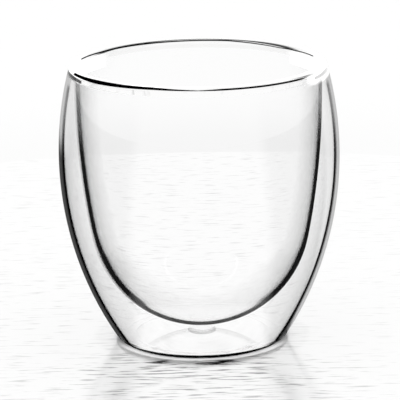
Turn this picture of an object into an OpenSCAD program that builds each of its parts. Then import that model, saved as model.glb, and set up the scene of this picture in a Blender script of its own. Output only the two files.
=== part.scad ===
// Double walled glass cup, blown from clear glass.
// Every piece is a body of revolution around Z. The cup stands on z = 0 with its axis at the origin.
// Each section is drawn in the half plane of radius (x) and height (y) from arcs that meet tangentially.

/* [Cup] */
// Height of the cup
cup_h = 90; // [84:0.5:96]
// Inner diameter of the mouth
mouth_d = 75; // [70:0.5:80]
// How far the belly stands out from the inside of the mouth
belly_swell = 7.2; // [6:0.1:9]
// Height of the widest place
belly_z = 60; // [54:0.5:64]
// Outer diameter of the flat foot, where the heel meets it
foot_d = 49.2; // [44:0.2:56]
// Outer radius of the heel
heel_r = 3.9; // [3:0.1:6]

/* [Walls] */
// Wall of the outer shell
shell_wall = 1.6; // [1.2:0.1:2.2]
// Wall of the inner bowl
bowl_wall = 1.6; // [1.2:0.1:2.2]
// Thickness of the fused lip
lip_t = 3.4; // [3:0.1:4.2]
// Width of the air gap at its top, where the walls join
crotch_w = 1.2; // [0.8:0.1:1.8]

/* [Bowl] */
// Length of the straight inner wall below the rim
straight_h = 11; // [8:0.5:20]
// Radius of the long arc of the bowl's side
bowl_arc_r = 235; // [200:5:300]
// Air gap between the base and the bottom of the bowl
floor_gap = 2; // [1.8:0.1:6]

/* [Foot] */
// Width of the flat ring that the cup stands on
foot_ring_w = 3; // [2:0.2:6]
// Rise of the shallow push-up inside the ring
push_up = 1.4; // [1.3:0.1:2.4]

/* [Vent] */
// Diameter of the vent hole in the base
vent_d = 6; // [4:0.5:7]
// Diameter of the plug's head
plug_head_d = 9; // [8.5:0.5:14]
// Thickness of the plug's head
plug_head_t = 0.8; // [0.5:0.1:1]
// Diameter of the plug's inner lip
plug_lip_d = 7.6; // [7.2:0.2:8.4]
// Thickness of the plug's inner lip
plug_lip_t = 0.8; // [0.5:0.1:1.2]
// Play around the plug's neck
plug_play = 0.05; // [0.02:0.01:0.1]
// Gap between the plug and the two faces of the base
plug_seat_gap = 0.03; // [0.01:0.01:0.1]

/* [Hidden] */
$fn = 180;

// Overrun of every cut
over = 1;
// Opacity of the glass in a preview
glass_alpha = 0.45;

// Radii that follow from the diameters
mouth_r = mouth_d / 2;
belly_r = mouth_r + belly_swell;
foot_r = foot_d / 2;
vent_r = vent_d / 2;
plug_head_r = plug_head_d / 2;
plug_lip_r = plug_lip_d / 2;
plug_neck_r = vent_r - plug_play;

// Radius of an arc that is upright at its widest place and holds a small circle inside itself.
// in_by is how far the small circle's centre lies inside the widest place, off is its distance above or below it.
function side_arc(in_by, off, small_r) =
    (in_by * in_by + off * off - small_r * small_r) / (2 * (in_by - small_r));

// The lip's round top touches the inside of the mouth, the top plane and the upper side arc
lip_r = lip_t / 2;
lip_c = [mouth_r + lip_r, cup_h - lip_r];
upper_r = side_arc(belly_r - lip_c.x, lip_c.y - belly_z, lip_r);
upper_c = [belly_r - upper_r, belly_z];
lip_a = atan2(lip_c.y - upper_c.y, lip_c.x - upper_c.x);

// The heel touches the foot plane and the lower side arc
heel_c = [foot_r, heel_r];
lower_r = side_arc(belly_r - heel_c.x, belly_z - heel_c.y, heel_r);
lower_c = [belly_r - lower_r, belly_z];
heel_a = atan2(heel_c.y - lower_c.y, heel_c.x - lower_c.x);

// The push-up is a cap that meets the inner edge of the foot ring
push_up_edge_r = foot_r - foot_ring_w;
push_up_r = (push_up_edge_r * push_up_edge_r + push_up * push_up) / (2 * push_up);
push_up_c = [0, push_up - push_up_r];
function push_up_z(r) = push_up_c.y + sqrt(push_up_r * push_up_r - r * r);

// The bowl's round bottom touches the long side arc and stands clear of the base
bowl_mouth_r = mouth_r + bowl_wall;
straight_z = cup_h - straight_h;
bowl_side_c = [bowl_mouth_r - bowl_arc_r, straight_z];
bowl_bottom_z = push_up + shell_wall + floor_gap;
bowl_drop = straight_z - bowl_bottom_z;
bottom_r = (bowl_arc_r * bowl_arc_r - bowl_side_c.x * bowl_side_c.x - bowl_drop * bowl_drop)
    / (2 * (bowl_arc_r - bowl_drop));
bottom_c = [0, bowl_bottom_z + bottom_r];
bottom_a = atan2(bottom_c.y - bowl_side_c.y, bottom_c.x - bowl_side_c.x);

// The walls are cut level where the air gap has narrowed to its top width, and the lip starts there
crotch_outer_r = bowl_mouth_r + crotch_w;
weld_z = upper_c.y + sqrt(pow(upper_r - shell_wall, 2) - pow(crotch_outer_r - upper_c.x, 2));

// Tangent arcs meet at these heights, on a surface that lies inset inside the outer one
function heel_join_z(inset) = heel_c.y + (heel_r - inset) * sin(heel_a);
function bottom_join_z(inset) = bottom_c.y + (bottom_r - inset) * sin(bottom_a);
lip_join_z = lip_c.y + lip_r * sin(lip_a);

// Radius that reaches past every section
reach_r = belly_r + over;

// Rectangle between two corners, so that neighbours share their edges exactly
module window(low, high) {
    polygon([low, [high.x, low.y], high, [low.x, high.y]]);
}

// Disc, kept only inside a rectangle
module disc_in(centre, r, low, high) {
    intersection() {
        translate(centre) circle(r = r);
        window(low, high);
    }
}

// The shell's outside, or its inside when it is inset by the wall
module shell_outline(inset, top_z) {
    join_z = heel_join_z(inset);
    disc_in(upper_c, upper_r - inset, [0, belly_z], [reach_r, top_z]);
    disc_in(lower_c, lower_r - inset, [0, join_z], [reach_r, belly_z]);
    disc_in(heel_c, heel_r - inset, [foot_r, 0], [reach_r, join_z]);
    window([0, inset], [foot_r, join_z]);
}

// The bowl's outside, or its inside when it is inset by the wall
module bowl_outline(inset, top_z) {
    join_z = bottom_join_z(inset);
    window([0, straight_z], [bowl_mouth_r - inset, top_z]);
    disc_in(bowl_side_c, bowl_arc_r - inset, [0, join_z], [reach_r, straight_z]);
    disc_in(bottom_c, bottom_r - inset, [0, 0], [reach_r, join_z]);
}

// Wall of even thickness from the weld down to the foot ring, with the push-up and the vent hole
module shell_section() {
    difference() {
        union() {
            difference() {
                shell_outline(0, weld_z);
                shell_outline(shell_wall, weld_z + over);
            }
            disc_in([push_up_c.x, push_up_c.y + shell_wall], push_up_r,
                [0, 0], [push_up_edge_r, push_up + shell_wall]);
        }
        translate(push_up_c) circle(r = push_up_r);
        window([-over, -over], [vent_r, push_up + shell_wall + over]);
    }
}

module bowl_section() {
    difference() {
        bowl_outline(0, weld_z);
        bowl_outline(bowl_wall, weld_z + over);
    }
}

// Both walls run together into the lip, whose underside is the arched top of the air gap
module lip_section() {
    difference() {
        union() {
            disc_in(lip_c, lip_r, [0, lip_join_z], [reach_r, cup_h]);
            disc_in(lip_c, lip_r, [0, lip_c.y], [lip_c.x, lip_join_z]);
            disc_in(upper_c, upper_r, [lip_c.x, weld_z], [reach_r, lip_join_z]);
            window([mouth_r, weld_z], lip_c);
        }
        translate([bowl_mouth_r + crotch_w / 2, weld_z]) circle(d = crotch_w);
    }
}

// Head under the base, neck through the vent and lip above the base
module plug_section() {
    head_top_z = push_up_z(plug_head_r) - plug_seat_gap;
    lip_bottom_z = push_up_z(vent_r) + shell_wall + plug_seat_gap;
    head_z = head_top_z - plug_head_t;
    edge_r = plug_head_t / 2;
    translate([0, head_z]) square([plug_head_r - edge_r, plug_head_t]);
    disc_in([plug_head_r - edge_r, head_z + edge_r], edge_r,
        [plug_head_r - edge_r, head_z], [plug_head_r, head_top_z]);
    polygon([
        [0, head_z],
        [plug_neck_r, head_z],
        [plug_neck_r, lip_bottom_z],
        [plug_lip_r, lip_bottom_z],
        [plug_neck_r, lip_bottom_z + plug_lip_t],
        [0, lip_bottom_z + plug_lip_t]
    ]);
}

module outer_shell() {
    color("lightcyan", glass_alpha) rotate_extrude() shell_section();
}

module inner_bowl() {
    color("azure", glass_alpha) rotate_extrude() bowl_section();
}

module rim_bead() {
    color("paleturquoise", glass_alpha) rotate_extrude() lip_section();
}

module vent_plug() {
    color("whitesmoke") rotate_extrude() plug_section();
}

outer_shell();
inner_bowl();
rim_bead();
vent_plug();
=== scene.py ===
import math
import bpy
import numpy as np
from mathutils import Matrix, Vector


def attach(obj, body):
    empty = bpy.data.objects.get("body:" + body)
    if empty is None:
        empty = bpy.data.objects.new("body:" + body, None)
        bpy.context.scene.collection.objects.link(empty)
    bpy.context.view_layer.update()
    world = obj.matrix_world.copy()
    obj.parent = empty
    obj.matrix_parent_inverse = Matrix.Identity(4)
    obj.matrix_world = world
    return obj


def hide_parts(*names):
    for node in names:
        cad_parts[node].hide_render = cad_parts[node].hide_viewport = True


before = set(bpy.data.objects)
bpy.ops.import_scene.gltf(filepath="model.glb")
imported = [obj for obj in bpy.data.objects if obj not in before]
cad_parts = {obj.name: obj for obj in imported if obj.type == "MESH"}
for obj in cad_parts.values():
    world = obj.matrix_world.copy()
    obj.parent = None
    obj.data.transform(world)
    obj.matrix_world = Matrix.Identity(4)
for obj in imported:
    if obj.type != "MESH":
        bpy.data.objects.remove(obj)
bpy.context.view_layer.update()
scene = bpy.context.scene
mm = 0.001
print("frame loaded:", sorted(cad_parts))

view = {
    "imagePixels": 400,
    "focalPixels": 2709.0,
    "sensorWidth": 36.0,  # mm
    "pitch": 14.269,  # degrees down
    "roll": -0.944,  # degrees
    "distance": 866.9,  # mm from the point looked at
    "aimHeight": 44.864,  # mm
    "sideways": 0.02,  # mm to the right
    "nearest": 0.01,  # metres, what is nearer or farther than these isn't seen
    "farthest": 100.0,
}


def makeCamera():
    # the camera looks along +Y and down by the pitch, and is rolled about its own line of sight
    pitch, roll = math.radians(view["pitch"]), math.radians(view["roll"])
    ahead = Vector((0, math.cos(pitch), -math.sin(pitch)))
    right = Vector((1, 0, 0))
    above = right.cross(ahead)
    camX = math.cos(roll) * right + math.sin(roll) * above
    camY = -math.sin(roll) * right + math.cos(roll) * above
    place = Vector((view["sideways"], 0, view["aimHeight"])) - view["distance"] * ahead
    lens = bpy.data.cameras.new("camera")
    lens.sensor_fit = "HORIZONTAL"
    lens.sensor_width = view["sensorWidth"]
    lens.lens = view["focalPixels"] * view["sensorWidth"] / view["imagePixels"]
    lens.clip_start, lens.clip_end = view["nearest"], view["farthest"]
    made = bpy.data.objects.new("camera", lens)
    turn = Matrix((camX, camY, -ahead)).transposed().to_4x4()
    made.matrix_world = Matrix.Translation(place * mm) @ turn
    scene.collection.objects.link(made)
    scene.camera = made


makeCamera()
print("camera placed")

# sizes in mm
cup = {
    "height": 90.0,
    "mouthR": 37.5,
    "bellySwell": 7.2,
    "bellyZ": 60.0,
    "footR": 24.6,
    "heelR": 3.9,
    "shellWall": 1.6,
    "bowlWall": 1.6,
    "lipThick": 3.4,
    "crotchWidth": 1.2,
    "crotchZ": 86.6,  # the air gap's round top starts here, inside the lip
    "straight": 11.0,
    "bowlArcR": 235.0,
    "floorGap": 2.0,
    "footRing": 3.0,
    "pushUp": 1.4,
    "ventR": 3.0,
    "segments": 320,  # round the axis
}
# a face's place in the glass picks its material: a side with dark edges or lines, a joint of two pieces,
# a plain side, or one of the collars by which the lip carries on the shell's and the bowl's wall
outer, fused, inner, shellCollar, bowlCollar = 0, 1, 2, 3, 4


def sideArc(inBy, off, smallR):
    # radius of an arc that is upright at its widest place and holds a small circle inside itself
    return (inBy ** 2 + off ** 2 - smallR ** 2) / (2 * (inBy - smallR))


def angleOf(outBy, upBy):
    # degrees, 0 is outward from the axis and 90 is up
    return math.degrees(math.atan2(upBy, outBy))


def arc(centre, radius, start, end, steps, side=1, part=outer):
    # centre + radius * (cos a, sin a); the normal is the way out of the circle, or into it where side is -1
    a = np.radians(np.linspace(start, end, steps + 1))
    out = np.stack([np.cos(a), np.sin(a)], 1)
    return np.array(centre) + radius * out, side * out, part


def line(start, end, steps, part=inner):
    # even steps from start to end; the normal points to the right of the way walked
    share = np.linspace(0, 1, steps + 1)[:, None]
    way = (np.array(end, float) - start) / math.dist(start, end)
    return start + share * (np.array(end, float) - start), np.tile([way[1], -way[0]], (steps + 1, 1)), part


def glassRuns():
    # the outlines of the three glass pieces, walked with the glass on the left; angles are in degrees
    c = cup
    bellyR = c["mouthR"] + c["bellySwell"]
    lipR = c["lipThick"] / 2
    lipC = (c["mouthR"] + lipR, c["height"] - lipR)
    upperR = sideArc(bellyR - lipC[0], lipC[1] - c["bellyZ"], lipR)
    upperC = (bellyR - upperR, c["bellyZ"])
    lipA = angleOf(lipC[0] - upperC[0], lipC[1] - upperC[1])
    heelC = (c["footR"], c["heelR"])
    lowerR = sideArc(bellyR - heelC[0], c["bellyZ"] - heelC[1], c["heelR"])
    lowerC = (bellyR - lowerR, c["bellyZ"])
    heelA = angleOf(heelC[0] - lowerC[0], heelC[1] - lowerC[1])
    wall = c["shellWall"]

    ringR = c["footR"] - c["footRing"]
    capR = (ringR ** 2 + c["pushUp"] ** 2) / (2 * c["pushUp"])
    capC = (0, c["pushUp"] - capR)
    capTopC = (0, capC[1] + wall)

    def capZ(r, lift=0.0):
        return capC[1] + lift + math.sqrt(capR ** 2 - r ** 2)

    ventA = angleOf(c["ventR"], capZ(c["ventR"]) - capC[1])
    ringA = angleOf(ringR, -capC[1])

    bowlR = c["mouthR"] + c["bowlWall"]
    weldZ = upperC[1] + math.sqrt((upperR - wall) ** 2 - (bowlR + c["crotchWidth"] - upperC[0]) ** 2)
    outWeldA = math.degrees(math.asin((weldZ - upperC[1]) / upperR))
    inWeldA = math.degrees(math.asin((weldZ - upperC[1]) / (upperR - wall)))
    outWeldR = upperC[0] + upperR * math.cos(math.radians(outWeldA))
    inWeldR = upperC[0] + (upperR - wall) * math.cos(math.radians(inWeldA))

    crotchA = math.degrees(math.asin((c["crotchZ"] - upperC[1]) / (upperR - wall)))
    archR = (upperC[0] + (upperR - wall) * math.cos(math.radians(crotchA)) - bowlR) / 2

    straightZ = c["height"] - c["straight"]
    sideC = (bowlR - c["bowlArcR"], straightZ)
    bottomZ = c["pushUp"] + wall + c["floorGap"]
    drop = straightZ - bottomZ
    bottomR = (c["bowlArcR"] ** 2 - sideC[0] ** 2 - drop ** 2) / (2 * (c["bowlArcR"] - drop))
    bottomC = (0, bottomZ + bottomR)
    bottomA = angleOf(bottomC[0] - sideC[0], bottomC[1] - sideC[1])

    shell = [
        arc(capC, capR, ventA, ringA, steps=24, side=-1, part=inner),
        line((ringR, 0), (c["footR"], 0), steps=3),
        arc(heelC, c["heelR"], -90, heelA, steps=18),
        arc(lowerC, lowerR, heelA, 0, steps=62),
        arc(upperC, upperR, 0, outWeldA, steps=28),
        line((outWeldR, weldZ), (inWeldR, weldZ), steps=2, part=fused),
        arc(upperC, upperR - wall, inWeldA, 0, steps=28, side=-1, part=inner),
        arc(lowerC, lowerR - wall, 0, heelA, steps=60, side=-1, part=inner),
        arc(heelC, c["heelR"] - wall, heelA, -90, steps=14, side=-1, part=inner),
        line((c["footR"], wall), (ringR, wall), steps=3),
        arc(capTopC, capR, ringA, ventA, steps=24, part=inner),
        line((c["ventR"], capZ(c["ventR"], wall)), (c["ventR"], capZ(c["ventR"])), steps=3),
    ]
    bowl = [
        arc(bottomC, bottomR, -90, bottomA, steps=48),
        arc(sideC, c["bowlArcR"], bottomA, 0, steps=52),
        line((bowlR, straightZ), (bowlR, weldZ), steps=6, part=outer),
        line((bowlR, weldZ), (c["mouthR"], weldZ), steps=2, part=fused),
        line((c["mouthR"], weldZ), (c["mouthR"], straightZ), steps=6),
        arc(sideC, c["bowlArcR"] - c["bowlWall"], 0, bottomA, steps=52, side=-1, part=inner),
        arc(bottomC, bottomR - c["bowlWall"], bottomA, -90, steps=48, side=-1, part=inner),
    ]
    lip = [
        line((c["mouthR"], weldZ), (bowlR, weldZ), steps=2, part=fused),
        line((bowlR, weldZ), (bowlR, c["crotchZ"]), steps=3, part=bowlCollar),
        arc((bowlR + archR, c["crotchZ"]), archR, 180, 0, steps=12, side=-1, part=inner),
        arc(upperC, upperR - wall, crotchA, inWeldA, steps=3, side=-1, part=inner),
        line((inWeldR, weldZ), (outWeldR, weldZ), steps=2, part=fused),
        arc(upperC, upperR, outWeldA, lipA, steps=8, part=shellCollar),
        arc(lipC, lipR, lipA, 180, steps=44),
        line((c["mouthR"], lipC[1]), (c["mouthR"], weldZ), steps=5, part=outer),
    ]
    return {"shell": shell, "bowl": bowl, "lip": lip}


def revolve(name, runs, segments, closed, materials):
    # each point (r, z) of the outline goes round the axis, x = r cos t and y = r sin t, and its normals go
    # with it; an outline that isn't closed starts and ends on the axis
    lastPoint = [] if closed else [runs[-1][0][-1:]]
    points = np.concatenate([run[0][:-1] for run in runs] + lastPoint) * mm
    firstNormals = np.concatenate([run[1][:-1] for run in runs])
    secondNormals = np.concatenate([run[1][1:] for run in runs])
    parts = np.concatenate([np.full(len(run[0]) - 1, run[2]) for run in runs])
    here = np.arange(segments)
    beside = np.roll(here, -1)
    t = np.linspace(0, 2 * np.pi, segments, endpoint=False)
    around = np.stack([np.cos(t), np.sin(t)], 1)

    # a point on the axis is one vertex, and any other is a ring of them
    onAxis = np.isclose(points[:, 0], 0)
    sizes = np.where(onAxis, 1, segments)
    starts = np.concatenate([[0], np.cumsum(sizes)[:-1]])
    ids = starts[:, None] + np.where(onAxis[:, None], 0, here[None, :])
    rings = [np.array([[0, 0, z]]) if pole else np.column_stack([r * around, np.full(segments, z)])
             for (r, z), pole in zip(points, onAxis)]

    # the four corners of every face, and the normals there
    first = np.arange(len(firstNormals))
    second = (first + 1) % len(points)
    a, b = ids[first], ids[first][:, beside]
    d, c = ids[second], ids[second][:, beside]

    def spread(normals, where):
        level = normals[:, :1, None] * around[where]
        return np.concatenate([level, np.repeat(normals[:, 1:, None], segments, 1)], 2)

    atA, atB = spread(firstNormals, here), spread(firstNormals, beside)
    atD, atC = spread(secondNormals, here), spread(secondNormals, beside)
    startPole, endPole = onAxis[first], onAxis[second]
    faces, normals, faceParts = [], [], []
    for keep, corners, cornerNormals in (
        (~(startPole | endPole), (a, b, c, d), (atA, atB, atC, atD)),
        (startPole, (a, c, d), (atA, atC, atD)),
        (endPole, (a, b, c), (atA, atB, atC)),
    ):
        if keep.any():
            faces += np.stack([corner[keep] for corner in corners], 2).reshape(-1, len(corners)).tolist()
            normals.append(np.stack([n[keep] for n in cornerNormals], 2).reshape(-1, 3))
            faceParts.append(np.repeat(parts[keep], segments))
    mesh = bpy.data.meshes.new(name)
    mesh.from_pydata(np.concatenate(rings).tolist(), [], faces)
    for material in materials:
        mesh.materials.append(material)
    mesh.polygons.foreach_set("material_index", np.concatenate(faceParts).astype(np.int32))
    mesh.polygons.foreach_set("use_smooth", np.ones(len(faces), bool))
    mesh.update()
    mesh.normals_split_custom_set(np.concatenate(normals).tolist())
    made = bpy.data.objects.new(name, mesh)
    scene.collection.objects.link(made)
    print(name, "triangles:", sum(len(face) - 2 for face in faces))
    return made


class Wire:
    # a socket of a node tree: the operators on wires and numbers add their Math nodes
    def __init__(self, tree, socket=None):
        self.tree, self.socket = tree, socket

    def node(self, kind, settings={}, sockets={}, out=0):
        made = self.tree.nodes.new("ShaderNode" + kind)
        for name, value in settings.items():
            if name == "stops":
                ramp = made.color_ramp
                while len(ramp.elements) < len(value):
                    ramp.elements.new(1)
                for stop, (place, level) in zip(ramp.elements, value):
                    stop.position, stop.color = place, (level, level, level, 1)
            else:
                setattr(made, name, value)
        for name, value in sockets.items():
            if isinstance(value, Wire):
                self.tree.links.new(value.socket, made.inputs[name])
            else:
                made.inputs[name].default_value = value
        return Wire(self.tree, made.outputs[out])

    def into(self, kind, name):
        end = next(n for n in self.tree.nodes if n.bl_idname == "ShaderNode" + kind)
        self.tree.links.new(self.socket, end.inputs[name])

    def ramp(self, levels):
        # even changes between the levels that are given by value, from the least value to the largest
        low, high = min(levels), max(levels)
        stops = [((value - low) / (high - low), level) for value, level in levels.items()]
        return self.node("ValToRGB", {"stops": stops}, {"Fac": (self - low) / (high - low)})

    def blend(self, start, end):
        # 0 below start and 1 above end, with a soft change between
        sockets = {"Value": self, "From Min": start, "From Max": end}
        return self.node("MapRange", {"interpolation_type": "SMOOTHSTEP"}, sockets)

    def maths(self, operation, other=0.0):
        return self.node("Math", {"operation": operation}, {0: self, 1: other})

    def reflected(self, operation, other):
        return self.node("Math", {"operation": operation}, {0: other, 1: self})

    def vector(self, operation, other=None, out=0):
        sockets = {0: self} if other is None else {0: self, 1: other}
        return self.node("VectorMath", {"operation": operation}, sockets, out)

    def axis(self, letter):
        return self.node("SeparateXYZ", sockets={0: self}, out=letter)

    def flat(self):
        # a vector without its height
        return self.vector("MULTIPLY", (1, 1, 0))

    def unit(self):
        return self.vector("NORMALIZE")

    def length(self):
        return self.vector("LENGTH", out="Value")

    def dot(self, other):
        return self.vector("DOT_PRODUCT", other, "Value")

    def __add__(self, other):
        return self.maths("ADD", other)

    def __radd__(self, other):
        return self.reflected("ADD", other)

    def __sub__(self, other):
        return self.maths("SUBTRACT", other)

    def __rsub__(self, other):
        return self.reflected("SUBTRACT", other)

    def __mul__(self, other):
        return self.maths("MULTIPLY", other)

    def __rmul__(self, other):
        return self.reflected("MULTIPLY", other)

    def __truediv__(self, other):
        return self.maths("DIVIDE", other)

    def __gt__(self, other):
        return self.maths("GREATER_THAN", other)

    def __lt__(self, other):
        return self.maths("LESS_THAN", other)


white, black = (1, 1, 1, 1), (0, 0, 0, 1)


def emptyTree(owner, output):
    owner.use_nodes = True
    owner.node_tree.nodes.clear()
    owner.node_tree.nodes.new("ShaderNode" + output)
    return Wire(owner.node_tree)


def newMaterial(name):
    made = bpy.data.materials.new(name)
    return made, emptyTree(made, "OutputMaterial")


def surfacePoint(wire):
    return wire.node("TexCoord", out="Object")


def normal(wire):
    return wire.node("NewGeometry", out="Normal")


def upward(wire):
    return normal(wire).axis("Z")


def outward(wire):
    # above 0 where the surface faces away from the axis
    return surfacePoint(wire).flat().dot(normal(wire))


def slanted(wire, **sockets):
    # 1 less the cosine between the normal and the line of sight, as Facing gives where Blend is a half
    return wire.node("LayerWeight", sockets={"Blend": 0.5, **sockets}, out="Facing")


def along(wire, start, end):
    # 1 where the line of sight runs along the lip's own length, by the cosine between the two
    ring = surfacePoint(wire).vector("CROSS_PRODUCT", (0, 0, 1)).unit()
    return (1 - slanted(wire, Normal=ring)).blend(start, end)


glass = {
    "ior": 1.47,
    "roughness": 0.0,
    "lyingDepth": 1.0,  # how much more the depth under a wall counts where the wall lies level
    "leastLevel": 0.000001,  # keeps a divisor there above 0
    "pale": (64.0, 80.0),  # mm, the walls' painted dark edges get paler between these heights
}


def wallDepth(wire, wall):
    # a line of sight that meets a round wall at a slant dips under its surface by cos^2 * r / (2 n), where n
    # is the level part of the normal and r the distance from the axis; it is counted in wall thicknesses
    reach = surfacePoint(wire).flat().length()
    level = normal(wire).flat().length()
    cosine = 1 - slanted(wire)
    depth = cosine * cosine * reach / (level * (2 * wall * mm) + glass["leastLevel"])
    return depth * (1 + (1 - level) * glass["lyingDepth"])


shellLook = {
    # painted shade: how much light gets in past the black coat where the line of sight dips that many walls
    # below the surface; it stands for the dark edges that refraction and internal reflection give
    "edge": {0.0: 1.0, 0.45: 0.95, 0.65: 0.3, 0.8: 0.0, 1.0: 0.0, 1.15: 0.9, 1.4: 1.0, 2.0: 0.97, 4.0: 1.0},
    "pale": 0.4,  # how much paler this edge gets
    "lip": (84.0, 86.0),  # mm, it ends between these heights, at the lip
    # painted shade: the dark line on the heel, by the downward share of the normal
    "heelLine": {0.0: 0.0, 0.56: 0.0, 0.66: 1.0, 0.955: 1.0, 0.985: 0.0, 1.0: 0.0},
}


# painted shade on the shell: a black coat on its edges and heel
def shellPaintedShade(wire):
    height = surfacePoint(wire).axis("Z") / mm
    edge = 1 - wallDepth(wire, cup["shellWall"]).ramp(shellLook["edge"])
    edge = edge * (1 - height.blend(*glass["pale"]) * shellLook["pale"])
    edge = edge * (1 - height.blend(*shellLook["lip"]))
    heel = (0 - upward(wire)).ramp(shellLook["heelLine"]) * (outward(wire) > 0)
    return edge.maths("MAXIMUM", heel)


bowlLook = {
    # painted shade as above: how much light gets in where the bowl's wall is upright and where it lies level
    "uprightEdge": {0.0: 0.75, 0.08: 0.4, 0.2: 0.03, 0.27: 0.0, 0.75: 0.0, 0.9: 0.3, 1.0: 0.5, 1.4: 0.72,
                    2.3: 0.84, 4.0: 1.0},
    "lyingEdge": {0.0: 0.6, 0.06: 0.2, 0.12: 0.0, 0.95: 0.0, 1.1: 0.8, 1.7: 1.0, 4.0: 1.0},
    "upright": (0.5, 0.95),  # it changes from lying to upright between these level shares of the normal
    "shift": 0.2,  # how many walls further out the edge is on the right, and further in on the left
    "pale": 0.2,
    "wide": 0.35,  # the edge is wider between the middle two of these heights, where the depth counts less
    "wideHeights": (14.0, 18.0, 30.0, 40.0),  # mm
}


# painted shade on the bowl: a black coat on its edges
def bowlPaintedShade(wire):
    point = surfacePoint(wire)
    height = point.axis("Z") / mm
    aside = point.axis("X") / (cup["mouthR"] * mm)
    start, full, ebb, end = bowlLook["wideHeights"]
    wide = height.blend(start, full) * (1 - height.blend(ebb, end)) * bowlLook["wide"]
    depth = wallDepth(wire, cup["bowlWall"]) * (1 - wide)
    upright = 1 - (depth + aside * bowlLook["shift"]).ramp(bowlLook["uprightEdge"])
    lying = 1 - depth.ramp(bowlLook["lyingEdge"])
    share = normal(wire).flat().length().blend(*bowlLook["upright"])
    return (upright * share + lying * (1 - share)) * (1 - height.blend(*glass["pale"]) * bowlLook["pale"])


# painted shade: the lip's dark lines are a black coat laid on by place and normal, standing for the dark
# lines that refraction gives
lipLook = {
    # the dark lines on the lip's outward and inward shoulder: by the angle round the axis, 0 to the right and
    # 90 to the back, the upward share of the normal in the middle of the line, and half the line's width in
    # that share; a few points are given: the outer line crosses the front, thickest on the left and
    # thinnest in the middle, and the inner one the back
    "outerLine": {-180: (0.6, 0.1), -140: (0.6, 0.3), -110: (0.7, 0.2), -90: (0.5, 0.06), -80: (0.55, 0.15),
                  -40: (0.5, 0.15), -33: (0.5, 0.0), 150: (0.6, 0.0), 180: (0.6, 0.1)},
    "innerLine": {-180: (0.8, 0.0), 5: (0.8, 0.0), 15: (0.6, 0.08), 45: (0.3, 0.08), 75: (0.7, 0.1),
                  145: (0.6, 0.12), 165: (0.75, 0.08), 173: (0.8, 0.0), 180: (0.8, 0.0)},
    "lineSoft": 0.04,  # how much of that share the border of a line takes
    "lineLeast": 0.01,  # there is no line where its half width is less
    "lineAlong": (0.94, 0.95),  # the lines end where the lip is seen along its own length
    # painted light: the lip glows by emission near there, on its inward side, and outside where the normal
    # points up by so much
    "along": (0.8, 0.9),
    "alongUp": (0.12, 0.27),
    "alongLight": 0.9,
    # it also glows, painted light, where it is seen at a slant
    "slant": (0.36, 0.7),
    "slantLight": 0.6,
    # and sooner and more on its inward side and its round top, from this upward share of the normal
    "innerSlant": (0.36, 0.5),
    "innerSlantLight": 0.85,
    "top": (0.72, 0.82),
    # on the right the shell's collar glows, painted light, where it is seen along its length, above these
    # heights in mm
    "collar": (85.8, 86.8),
    "collarLight": 0.62,
}


def lipPaintedLines(wire):
    point = surfacePoint(wire)
    angle = point.axis("Y").maths("ARCTAN2", point.axis("X")) * (180 / math.pi)
    up, out = upward(wire), outward(wire)
    soft = lipLook["lineSoft"] / 2

    def shoulder(name):
        middle = angle.ramp({place: share for place, (share, _) in lipLook[name].items()})
        half = angle.ramp({place: width for place, (_, width) in lipLook[name].items()})
        off = (up - middle).maths("ABSOLUTE")
        return (half - off).blend(-soft, soft) * (half > lipLook["lineLeast"])

    lines = shoulder("outerLine") * (out > 0) + shoulder("innerLine") * (out < 0)
    return lines * (1 - along(wire, *lipLook["lineAlong"]))


# painted light: emission that whitens the lip where it is seen along its length or at a slant
def lipPaintedGlow(wire):
    inward = outward(wire) < 0
    tube = upward(wire).blend(*lipLook["alongUp"]).maths("MAXIMUM", inward)
    top = upward(wire).blend(*lipLook["top"])
    seenAlong = along(wire, *lipLook["along"]) * tube * lipLook["alongLight"]
    slant = slanted(wire).blend(*lipLook["slant"]) * lipLook["slantLight"]
    innerSlant = slanted(wire).blend(*lipLook["innerSlant"]) * inward.maths("MAXIMUM", top)
    return seenAlong.maths("MAXIMUM", slant).maths("MAXIMUM", innerSlant * lipLook["innerSlantLight"])


# painted light: emission on the shell's collar near its top
def collarPaintedGlow(wire):
    point = surfacePoint(wire)
    top = (point.axis("Z") / mm).blend(*lipLook["collar"]) * (point.axis("X") > 0)
    return along(wire, *lipLook["along"]) * top * lipLook["collarLight"]


def clearGlass(name, paintedShade=None, paintedGlow=None):
    # painted shade: light that enters where the coat is black is lost, and the coat has no gloss of its own;
    # the emission is painted light
    made, wire = newMaterial(name)
    dark = paintedShade(wire) * (1 - wire.node("NewGeometry", out="Backfacing")) if paintedShade else 0.0
    wire.node("BsdfPrincipled", sockets={
        "Base Color": white,
        "Roughness": glass["roughness"],
        "IOR": glass["ior"],
        "Transmission Weight": 1.0,
        "Coat Weight": dark,
        "Coat IOR": 1.0,
        "Coat Roughness": 0.0,
        "Coat Tint": black,
        "Emission Color": paintedGlow(wire) if paintedGlow else black,
        "Emission Strength": 1.0,
    }).into("OutputMaterial", "Surface")
    return made


def jointPlane():
    # where two glass pieces are fused there is nothing to see
    made, wire = newMaterial("fusedFace")
    wire.node("BsdfTransparent", sockets={"Color": white}).into("OutputMaterial", "Surface")
    return made


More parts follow.
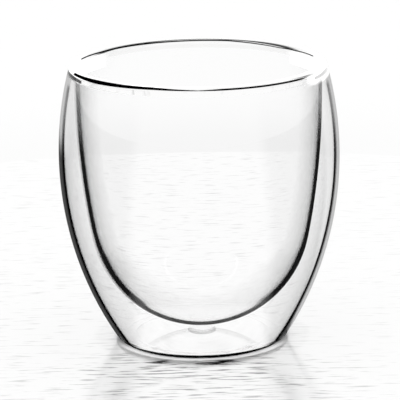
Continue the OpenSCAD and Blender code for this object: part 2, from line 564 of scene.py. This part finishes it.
def makeGlass():
    runs = glassRuns()
    fusedFace = jointPlane()
    collars = [clearGlass("shellCollar", shellPaintedShade, collarPaintedGlow), clearGlass("bowlCollar", bowlPaintedShade)]
    for name, node, slot, closed, paintedShade, paintedGlow, more in (
        ("shell", "outer_shell", "shell_glass", True, shellPaintedShade, None, []),
        ("bowl", "inner_bowl", "bowl_glass", False, bowlPaintedShade, None, []),
        ("lip", "rim_bead", "lip_glass", True, lipPaintedLines, lipPaintedGlow, collars),
    ):
        outside = clearGlass(name + "Outside", paintedShade, paintedGlow)
        materials = [outside, fusedFace, clearGlass(name + "Inside")] + more
        piece = revolve(name + "Glass", runs[name], cup["segments"], closed, materials)
        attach(piece, "root")
        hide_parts(node)


makeGlass()
print("glass made")

plug = {
    "tone": 1.0,
    "edge": (4.05, 4.25),  # mm from the axis, painted shade: the head gets darker between these
    "edgeShade": 0.5,  # by so much
    "roughness": 0.4,
    "ior": 1.41,
}


def siliconeMaterial():
    made, wire = newMaterial("milkySilicone")
    reach = surfacePoint(wire).flat().length() / mm
    wire.node("BsdfPrincipled", sockets={
        "Base Color": plug["tone"] - reach.blend(*plug["edge"]) * plug["edgeShade"],
        "Roughness": plug["roughness"],
        "IOR": plug["ior"],
    }).into("OutputMaterial", "Surface")
    return made


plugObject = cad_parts["vent_plug"]
plugObject.data.materials.clear()
plugObject.data.materials.append(siliconeMaterial())
print("plug finished")

# the cosines are those of the angle between a place's direction from the cup and the side that is named
room = {
    # painted reflection: no room is built, and the table is drawn dark at the sides in the glass's mirror
    # images instead: how bright the table is in them
    "dark": 0.07,
    "front": (0.5, 0.7),  # it gets white between these cosines from the front
    "behind": 0.5,  # how much brighter it is behind the cup
    "behindReach": (270.0, 360.0),  # mm from the axis
    "behindWay": (0.5, 0.8),  # cosines from the back
    "paintedCard": 0.5,  # painted reflection: how much brighter it is towards a white card behind to the right, which isn't built
    "cardAzimuth": 25.0,  # degrees from the back
    "cardHalf": 32.0,  # degrees to either side
    "cardFoot": 28.0,  # mm to the right of the axis, both angles are taken there
    "mostFaces": 2,  # light that went in and out of glass more often isn't from such an image
    # the sky is darker at the horizon in them, and white from this upward share on
    "skyLow": 0.3,
    "skyWhite": 0.35,
}


def passed(wire, kind, least=1):
    # 1 for light that took so many turns of a kind or more on its way: Glossy, Transmission or Diffuse;
    # a depth is a whole number, so half a turn less is a safe limit
    return wire.node("LightPath", out=kind + " Depth") > least - 0.5


def mirrored(wire):
    # 1 for what is seen in a mirror image and through few faces, and 0 for light that falls on a matt surface
    few = 1 - passed(wire, "Transmission", room["mostFaces"] + 1)
    return passed(wire, "Glossy") * few * (1 - passed(wire, "Diffuse"))


def paintedRoomImage(point):
    # how bright a point of the table is in such a mirror image
    reach = point.length() / mm
    back = point.unit().axis("Y")
    behind = reach.blend(*room["behindReach"]) * back.blend(*room["behindWay"]) * room["behind"]
    turn, half = math.radians(room["cardAzimuth"]), math.radians(room["cardHalf"])
    fromFoot = point.vector("SUBTRACT", (room["cardFoot"] * mm, 0, 0)).unit()
    paintedCard = (fromFoot.dot((math.sin(turn), math.cos(turn), 0)) > math.cos(half)) * room["paintedCard"]
    front = (0 - back).blend(*room["front"])
    return room["dark"] + behind.maths("MAXIMUM", paintedCard) + front * (1 - room["dark"])


def makeSky():
    scene.world = bpy.data.worlds.new("studio")
    wire = emptyTree(scene.world, "OutputWorld")
    way = wire.node("TexCoord", out="Generated")
    aside = 1 - way.axis("Y").maths("ABSOLUTE").blend(*room["front"])
    low = (1 - way.axis("Z").blend(0, room["skyWhite"])) * aside
    # only what passed through glass, because the table's own mirror image shows a white sky
    inGlass = mirrored(wire) * passed(wire, "Transmission")
    level = 1 - low * inGlass * (1 - room["skyLow"])
    wire.node("Background", sockets={"Color": level, "Strength": 1.0}).into("OutputWorld", "Surface")


makeSky()

table = {
    "size": 12.0,  # metres
    "drop": 0.03,  # mm below the foot
    "roughness": 0.18,
    "mirror": 0.3,  # how much of a mirror it is
    "mirrorReach": (27.0, 29.0),  # mm from the axis, it is none nearer than this
    # dark streaks, where a noise with so many spots per metre each way is above these levels
    "grain": (95.0, 700.0, 1.0),
    "grainDetail": 5.0,
    "grainLevels": (0.56, 0.7),
    "grainTone": 0.14,
    "grainLeft": 0.6,  # how much darker they are on the left
    "leftWay": (0.0, 0.8),  # cosines from the left
    # in front they are denser and darker, most at the first of these distances in mm and least at the last
    "grainReach": (26.0, 110.0),
    "grainWay": (0.35, 1.0),  # cosines from the front
    "grainNear": 0.68,
    "grainDense": 0.1,
    "nearThrough": 0.4,  # how strong both sorts are when they are seen through glass
    "farThrough": 2.0,
    # by the distance from the axis in mm: a painted shadow under the heel and painted light, an emission, for
    # the light that the heel gathers, both in front, and a painted shadow before the foot
    "heelShade": {0.0: 0.0, 24.0: 0.0, 24.2: 1.0, 25.4: 1.0, 25.8: 0.0, 60.0: 0.0},
    "footGlow": {0.0: 0.0, 25.8: 0.0, 26.0: 0.45, 27.4: 0.6, 28.8: 0.0, 60.0: 0.0},
    "footShade": {0.0: 0.0, 28.2: 0.0, 29.3: 0.85, 33.5: 0.75, 35.5: 0.0, 60.0: 0.0},
    "heelWay": (0.2, 0.6),  # cosines from the front, for the first two
    "shadeWay": (0.8, 0.98),  # for the third
    "shadeLevels": (0.4, 0.6),  # the third is broken up by the streaks' noise between these levels
    "shadeLeast": 0.15,  # the third's share where it isn't in front, and where it is broken up
    "throughTone": 0.98,  # how bright the table is when it is seen through glass
    # the streaks end this far from the axis in mm, and the floor is a little greyer from there to the second
    "end": 258.0,
    "beyond": 390.0,
    "beyondTone": 0.03,
    "beyondThrough": 0.07,
}


def noLess(share, least):
    # a share of 0 becomes the least one, and 1 stays
    return share * (1 - least) + least


def tableMaterial():
    made, wire = newMaterial("paleTable")
    point = surfacePoint(wire)
    reach = point.length() / mm
    front, left = 0 - point.unit().axis("Y"), 0 - point.unit().axis("X")
    offTable = reach > table["end"]
    beyond = offTable * (1 - reach.blend(table["end"], table["beyond"]))

    spots = point.vector("MULTIPLY", table["grain"])
    noise = wire.node("TexNoise", sockets={"Vector": spots, "Scale": 1.0, "Detail": table["grainDetail"]})
    near = (1 - reach.blend(*table["grainReach"])) * front.blend(*table["grainWay"]) * table["grainNear"]
    far = (1 + left.blend(*table["leftWay"]) * table["grainLeft"]) * table["grainTone"]
    streak = (noise + near * table["grainDense"]).blend(*table["grainLevels"])
    streak = streak * (1 - offTable) * (reach > table["grainReach"][0])

    # painted shadows go into Base Color and the heel's painted light into the emission
    heelFront = front.blend(*table["heelWay"])
    shadeFront = noLess(front.blend(*table["shadeWay"]), table["shadeLeast"])
    broken = noLess(noise.blend(*table["shadeLevels"]), table["shadeLeast"])
    shade = reach.ramp(table["heelShade"]) * heelFront + reach.ramp(table["footShade"]) * shadeFront * broken
    top = wire.node("BsdfPrincipled", sockets={
        "Base Color": 1 - streak * (near + far) - beyond * table["beyondTone"] - shade,
        "Metallic": reach.blend(*table["mirrorReach"]) * table["mirror"],
        "Roughness": table["roughness"],
        "Emission Color": reach.ramp(table["footGlow"]) * heelFront,
        "Emission Strength": 1.0,
    })

    # seen through glass the table is bright by itself, and drawn darker in mirror images, a painted
    # reflection of a dark room
    seen = near * table["nearThrough"] + far * table["farThrough"]
    tone = table["throughTone"] - streak * seen - beyond * table["beyondThrough"]
    level = 1 - mirrored(wire) * (1 - paintedRoomImage(point))
    bright = wire.node("Emission", sockets={"Color": level * tone, "Strength": 1.0})
    unlit = wire.node("Emission", sockets={"Color": black, "Strength": 0.0})
    plain = wire.node("MixShader", sockets={0: level, 1: unlit, 2: top})
    through = passed(wire, "Transmission") * (1 - passed(wire, "Diffuse"))
    wire.node("MixShader", sockets={0: through, 1: plain, 2: bright}).into("OutputMaterial", "Surface")
    return made


def makeTable():
    half, low = table["size"] / 2, -table["drop"] * mm
    corners = [(-half, -half, low), (half, -half, low), (half, half, low), (-half, half, low)]
    mesh = bpy.data.meshes.new("table")
    mesh.from_pydata(corners, [], [(0, 1, 2, 3)])
    mesh.materials.append(tableMaterial())
    made = bpy.data.objects.new("table", mesh)
    scene.collection.objects.link(made)


makeTable()

scene.view_settings.view_transform = "Standard"
# how many turns light may take, in all and of each kind
bounces = {
    "max_bounces": 40,
    "transmission_bounces": 32,
    "glossy_bounces": 24,
    "diffuse_bounces": 3,
    "transparent_max_bounces": 16,
}
for name, count in bounces.items():
    setattr(scene.cycles, name, count)
scene.cycles.blur_glossy = 0.0
print("studio lit")
